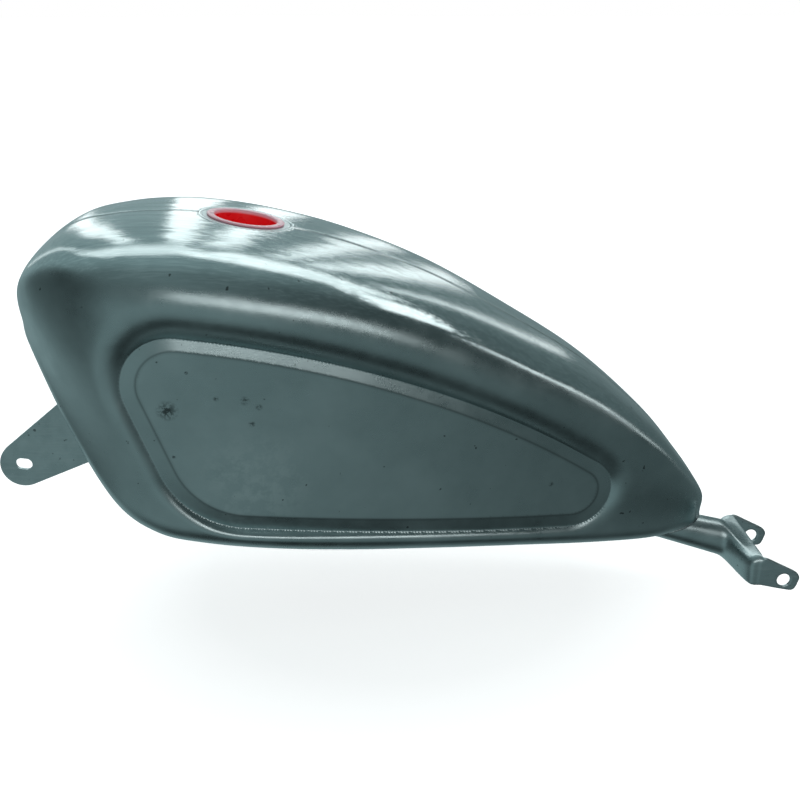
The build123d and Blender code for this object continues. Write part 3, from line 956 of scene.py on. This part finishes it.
def ground_normal(n, strokes, patches, amount):
    """The surface normal, tipped lengthwise from stroke to stroke as a grinder leaves it."""
    sway = n.math("ADD", n.math("MULTIPLY", strokes, 0.55), n.math("MULTIPLY", patches, 0.45))
    sway = n.math("SUBTRACT", sway, 0.5)
    tip = n.add("ShaderNodeCombineXYZ")
    n.link(n.math("MULTIPLY", sway, amount), tip.inputs["X"])
    total = n.add("ShaderNodeVectorMath", operation="ADD")
    n.link(n.geometry.outputs["Normal"], total.inputs[0])
    n.link(tip.outputs[0], total.inputs[1])
    unit = n.add("ShaderNodeVectorMath", operation="NORMALIZE")
    n.link(total.outputs[0], unit.inputs[0])
    return unit.outputs[0]


def body_steel():
    """Sheet steel: ground lengthwise and polished on top, its pale and dull streaks there partly a painted
    reflection; satin and cloudy on the sides, with a painted highlight on the panel and painted shade along
    its crease.
    """
    n = Nodes("body_steel_brushed")
    facing = n.add("ShaderNodeSeparateXYZ")
    n.link(n.geometry.outputs["Normal"], facing.inputs[0])
    ragged = n.noise(20, 3, 0.6, (1, 3, 3))
    upward = n.math("ADD", facing.outputs["Z"], n.range(ragged, 0.3, 0.7, -0.08, 0.08))
    polish = n.range(upward, 0.38, 0.66, 0.0, 1.0)
    strokes = n.noise(9, 4, 0.6, (2.4, 60, 60), (0, 0, 4))
    wide = n.noise(9, 3, 0.55, (2.0, 14, 14), (0, 0, 6), (3, 1, 2))
    hair = n.noise(30, 3, 0.6, (3, 60, 60), (0, 0, 4))
    cloud = n.noise(11, 4, 0.6)
    mottle = n.noise(75, 5, 0.7)

    tone = n.mix(n.range(cloud, 0.35, 0.65, 0.0, 1.0), STEEL_DULL_AND_SHADE, STEEL)
    # Pale streaks and dull patches on the up-facing top: partly grinding marks, partly a painted reflection
    # of the lamps.
    streak = n.math("MULTIPLY", n.range(strokes, 0.45, 0.7, 0.0, 0.7), polish)
    tone = n.mix(streak, tone, STEEL_PALE_AND_HIGHLIGHT)
    dull = n.math("MULTIPLY", n.range(wide, 0.47, 0.58, 0.0, 0.55), polish)
    tone = n.mix(dull, tone, STEEL_DULL_AND_SHADE)
    # Painted highlight: a pale patch on the panel's lower part, broken up by the mottle.
    painted_panel_highlight = n.math("MULTIPLY", near_point(n, (440, 106, 128), 12, 52), n.range(mottle, 0.44, 0.58, 0.0, 0.9))
    tone = n.mix(painted_panel_highlight, tone, STEEL_PALE_AND_HIGHLIGHT)
    soot_grain = n.noise(420, 2, 0.6)
    for place, inner, outer, gain in SOOT_MARKS:
        grain = n.range(soot_grain, 0.42, 0.55, 0.1, gain)
        spot = n.math("MULTIPLY", near_point(n, place, inner, outer), grain)
        tone = n.mix(spot, tone, SOOT_AND_SHADE)
    pits = n.range(n.noise(150, 2, 0.5), 0.735, 0.77, 0.0, 0.75)
    tone = n.mix(pits, tone, SOOT_AND_SHADE)
    # Painted shade: a dark line along the panel's inner crease.
    line = n.math("MULTIPLY", n.attribute("crease"), 0.5)
    tone = n.mix(line, tone, SOOT_AND_SHADE)

    satin = n.math("ADD", n.range(mottle, 0.3, 0.7, 0.25, 0.35), n.range(cloud, 0.3, 0.7, -0.05, 0.07))
    shine = n.range(strokes, 0.3, 0.7, 0.09, 0.17)
    blend = n.add("ShaderNodeMix", data_type="FLOAT")
    n.link(polish, blend.inputs[0])
    n.link(satin, blend.inputs[2])
    n.link(shine, blend.inputs[3])
    n.set(Base_Color=tone, Metallic=1.0, Roughness=blend.outputs[0])

    sway = n.range(polish, 0.0, 1.0, 0.05, 0.24)
    normal = ground_normal(n, strokes, wide, sway)
    scratches = n.range(n.noise(16, 2, 0.5, (1, 9, 9), (40, 20, 30)), 0.5, 0.515, 0.0, 1.0)
    height = n.math("ADD", hair, n.math("MULTIPLY", mottle, 0.6))
    height = n.math("ADD", height, n.math("MULTIPLY", scratches, 0.12))
    n.set(Normal=n.bump(height, 0.00006, 0.5, normal))
    return n.material


def drawn_steel(name, streak, rough, dark, pale, lumps=0.00015):
    """Plain steel of the small parts: mill marks, dents and dull patches."""
    n = Nodes(name)
    strokes = n.noise(9, 5, 0.62, streak)
    cloud = n.noise(38, 4, 0.6)
    dents = n.noise(85, 3, 0.55)
    tone = n.mix(n.range(cloud, 0.36, 0.66, 0.0, 1.0), dark, pale)
    tone = n.mix(n.range(strokes, 0.5, 0.75, 0.0, 0.5), tone, STEEL_PALE_AND_HIGHLIGHT)
    tone = n.mix(n.range(n.noise(230, 2, 0.5), 0.70, 0.76, 0.0, 0.7), tone, SOOT_AND_SHADE)
    roughness = n.math("ADD", n.range(strokes, 0.3, 0.7, rough - 0.05, rough + 0.07),
                       n.range(cloud, 0.3, 0.7, -0.03, 0.05))
    n.set(Base_Color=tone, Metallic=1.0, Roughness=roughness)
    height = n.math("ADD", n.math("MULTIPLY", strokes, 0.4), dents)
    n.set(Normal=n.bump(height, lumps, 0.7))
    return n.material


def moulded_red():
    """Translucent red moulded plastic, faintly flow-marked and given a faint painted glow."""
    n = Nodes("red_plastic_moulded")
    flow = n.noise(60, 3, 0.55)
    tone = n.mix(n.range(flow, 0.35, 0.7, 0.0, 1.0), (0.86, 0.008, 0.014), (0.96, 0.022, 0.03))
    # Paler pink over the top of the flange, picked out by height along the neck.
    height = n.add("ShaderNodeVectorMath", operation="DOT_PRODUCT")
    height.inputs[1].default_value = NECK_AXIS
    n.link(n.place, height.inputs[0])
    seat = NECK.dot(NECK_AXIS)
    thin = n.range(height.outputs["Value"], (seat - 1.6) * MM, (seat - 0.2) * MM, 0.0, 1.0)
    tone = n.mix(thin, tone, (0.90, 0.46, 0.54))
    # The emission is a painted glow: the red lights itself faintly.
    n.set(Base_Color=tone, Roughness=n.range(flow, 0.3, 0.7, 0.24, 0.34), Subsurface_Weight=0.25,
          Subsurface_Scale=0.004, Subsurface_Radius=(1.0, 0.12, 0.1), Specular_IOR_Level=0.6,
          Emission_Color=tone, Emission_Strength=0.14,
          Coat_Weight=0.35, Coat_Roughness=0.25)
    n.set(Normal=n.bump(n.noise(500, 2, 0.5), 0.00004, 0.4))
    return n.material


steel = body_steel()
drawn = drawn_steel("bracket_steel_drawn", (4, 50, 50), 0.29, STEEL_DULL_AND_SHADE, STEEL, 0.00006)
heat = drawn_steel("weld_steel_heat", (30, 30, 30), 0.36, (0.22, 0.26, 0.27), (0.46, 0.52, 0.52), 0.0003)
red = moulded_red()
SLOT_MATERIALS = {"body_steel": steel, "bracket_steel": drawn, "weld_steel": heat, "red_plastic": red}

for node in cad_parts.values():
    materials = node.data.materials
    for k, old in enumerate(list(materials)):
        for slot, material in SLOT_MATERIALS.items():
            if old and slot in old.name:
                materials[k] = material
for obj, slot in PIECES:
    obj.data.materials.clear()
    obj.data.materials.append(SLOT_MATERIALS[slot])


# ---------------------------------------------------------------- studio
MIDDLE = Vector((0.33, 0.0, 0.15))


def softbox(name, azimuth, elevation, reach, size, glow, colour=(1.0, 1.0, 1.0)):
    """A soft rectangular lamp facing the object. Azimuth 0 is behind it, turning to its nose."""
    a, e = math.radians(azimuth), math.radians(elevation)
    away = Vector((math.sin(a) * math.cos(e), -math.cos(a) * math.cos(e), math.sin(e)))
    data = bpy.data.lights.new(name, "AREA")
    data.shape = "RECTANGLE"
    data.size, data.size_y = size
    data.energy = glow * size[0] * size[1] * math.pi
    data.color = colour
    lamp = bpy.data.objects.new(name, data)
    bpy.context.scene.collection.objects.link(lamp)
    lamp.location = MIDDLE + away * reach
    lamp.rotation_mode = "QUATERNION"
    lamp.rotation_quaternion = (-away).to_track_quat("-Z", "Y")
    return lamp


RIBS = ((35, 0.10), (20.5, 0.18), (8, 0.24), (1, 0.18), (-8, 0.14), (-15, 0.18), (-26, 0.12))
for k, (azimuth, width) in enumerate(RIBS):
    softbox(f"back_strip_{k}", azimuth, 20, 3.0, (width, 1.9), 1.25)
softbox("back_bar_front", 24, 49, 3.0, (1.5, 0.8), 0.95)
softbox("back_bar_middle", -20, 51, 3.0, (1.5, 0.85), 1.25)
softbox("back_bar_rear", -66, 51, 3.0, (1.3, 0.75), 1.6)
softbox("tail_strip", -92, 20, 3.0, (0.42, 2.0), 1.2)
softbox("side_window", 190, 18, 3.0, (2.4, 1.0), 1.15)

SKY = (0.74, 1.0, 1.03)
world = bpy.data.worlds.new("studio")
bpy.context.scene.world = world
world.use_nodes = True
tree = world.node_tree
tree.nodes.clear()


def world_node(kind, **settings):
    node = tree.nodes.new(kind)
    for key, value in settings.items():
        setattr(node, key, value)
    return node


# The room: mid grey low down, dark on the camera's side above the horizon
direction = world_node("ShaderNodeTexCoord").outputs["Generated"]
split = world_node("ShaderNodeSeparateXYZ")
tree.links.new(direction, split.inputs[0])
heights = world_node("ShaderNodeMapRange")
heights.inputs["From Min"].default_value = -1.0
tree.links.new(split.outputs["Z"], heights.inputs["Value"])
ramp = world_node("ShaderNodeValToRGB")
ROOM = ((0.0, 0.03), (0.07, 0.05), (0.12, 0.17), (0.22, 0.25), (0.42, 0.26), (0.50, 0.20), (0.70, 0.15),
        (0.88, 0.19), (1.0, 0.22))
ramp.color_ramp.elements.remove(ramp.color_ramp.elements[1])
for k, (place, value) in enumerate(ROOM):
    stop = ramp.color_ramp.elements[0] if k == 0 else ramp.color_ramp.elements.new(place)
    stop.position = place
    stop.color = (*[c * value for c in SKY], 1.0)
tree.links.new(heights.outputs[0], ramp.inputs[0])
back = world_node("ShaderNodeMapRange")
for key, value in (("From Min", -0.15), ("From Max", 0.35), ("To Min", 0.0), ("To Max", 1.0)):
    back.inputs[key].default_value = value
turned = world_node("ShaderNodeMath", operation="MULTIPLY")
turned.inputs[1].default_value = -1.0
tree.links.new(split.outputs["Y"], turned.inputs[0])
tree.links.new(turned.outputs[0], back.inputs["Value"])
behind = world_node("ShaderNodeMix", data_type="RGBA")
behind.inputs[7].default_value = (*[c * 0.36 for c in SKY], 1.0)
tree.links.new(back.outputs[0], behind.inputs[0])
tree.links.new(ramp.outputs[0], behind.inputs[6])

# and darker towards the tail and straight ahead of the nose
tailward = world_node("ShaderNodeMapRange")
for key, value in (("From Min", -0.6), ("From Max", 0.1), ("To Min", 0.42), ("To Max", 1.0)):
    tailward.inputs[key].default_value = value
noseward = world_node("ShaderNodeMapRange")
for key, value in (("From Min", 0.72), ("From Max", 0.92), ("To Min", 1.0), ("To Max", 0.3)):
    noseward.inputs[key].default_value = value
shade = world_node("ShaderNodeMath", operation="MULTIPLY")
tree.links.new(split.outputs["X"], tailward.inputs["Value"])
tree.links.new(split.outputs["X"], noseward.inputs["Value"])
tree.links.new(tailward.outputs[0], shade.inputs[0])
tree.links.new(noseward.outputs[0], shade.inputs[1])

seen = world_node("ShaderNodeBackground")
seen.inputs["Color"].default_value = (1, 1, 1, 1)
around = world_node("ShaderNodeBackground")
tree.links.new(behind.outputs[2], around.inputs["Color"])
tree.links.new(shade.outputs[0], around.inputs["Strength"])
path = world_node("ShaderNodeLightPath")
choose = world_node("ShaderNodeMixShader")
output = world_node("ShaderNodeOutputWorld")
tree.links.new(path.outputs["Is Camera Ray"], choose.inputs[0])
tree.links.new(around.outputs[0], choose.inputs[1])
tree.links.new(seen.outputs[0], choose.inputs[2])
tree.links.new(choose.outputs[0], output.inputs["Surface"])

# Pale floor that runs out into the white backdrop
FLOOR_Z = -0.0115
FLOOR_HALF = 12.0
floor_mesh = bpy.data.meshes.new("studio_floor")
corners = ((-1, -1), (1, -1), (1, 1), (-1, 1))
floor_mesh.from_pydata([(x * FLOOR_HALF, y * FLOOR_HALF, FLOOR_Z) for x, y in corners], [], [(0, 1, 2, 3)])
floor = bpy.data.objects.new("studio_floor", floor_mesh)
bpy.context.scene.collection.objects.link(floor)
pale = Nodes("studio_floor_pale")
reach = pale.add("ShaderNodeVectorMath", operation="DISTANCE")
reach.inputs[1].default_value = (0.33, 0.0, FLOOR_Z)
pale.link(pale.place, reach.inputs[0])
glow = pale.range(reach.outputs["Value"], 0.16, 0.36, 0.74, 0.96)
pale.set(Base_Color=(0.9, 0.92, 0.92), Roughness=0.9, Emission_Color=(1.0, 1.0, 1.0), Emission_Strength=glow)
floor_mesh.materials.append(pale.material)
floor.visible_glossy = False

# Camera, at the rider's left and a little above
FOCAL = 54.0
CAMERA_AT = (0.3763, 0.9313, 0.4912)
CAMERA_PITCH = 19.9
CAMERA_TURN = 3.2
lens = bpy.data.cameras.new("view")
lens.lens = FOCAL
lens.sensor_width = 36.0
lens.clip_start = 0.05
lens.clip_end = 50.0
camera = bpy.data.objects.new("view", lens)
bpy.context.scene.collection.objects.link(camera)
camera.location = CAMERA_AT
pitch, turn = math.radians(CAMERA_PITCH), math.radians(CAMERA_TURN)
look = Vector((-math.sin(turn) * math.cos(pitch), -math.cos(turn) * math.cos(pitch), -math.sin(pitch)))
camera.rotation_mode = "QUATERNION"
camera.rotation_quaternion = look.to_track_quat("-Z", "Y")
bpy.context.scene.camera = camera
bpy.context.scene.view_settings.view_transform = "Standard"
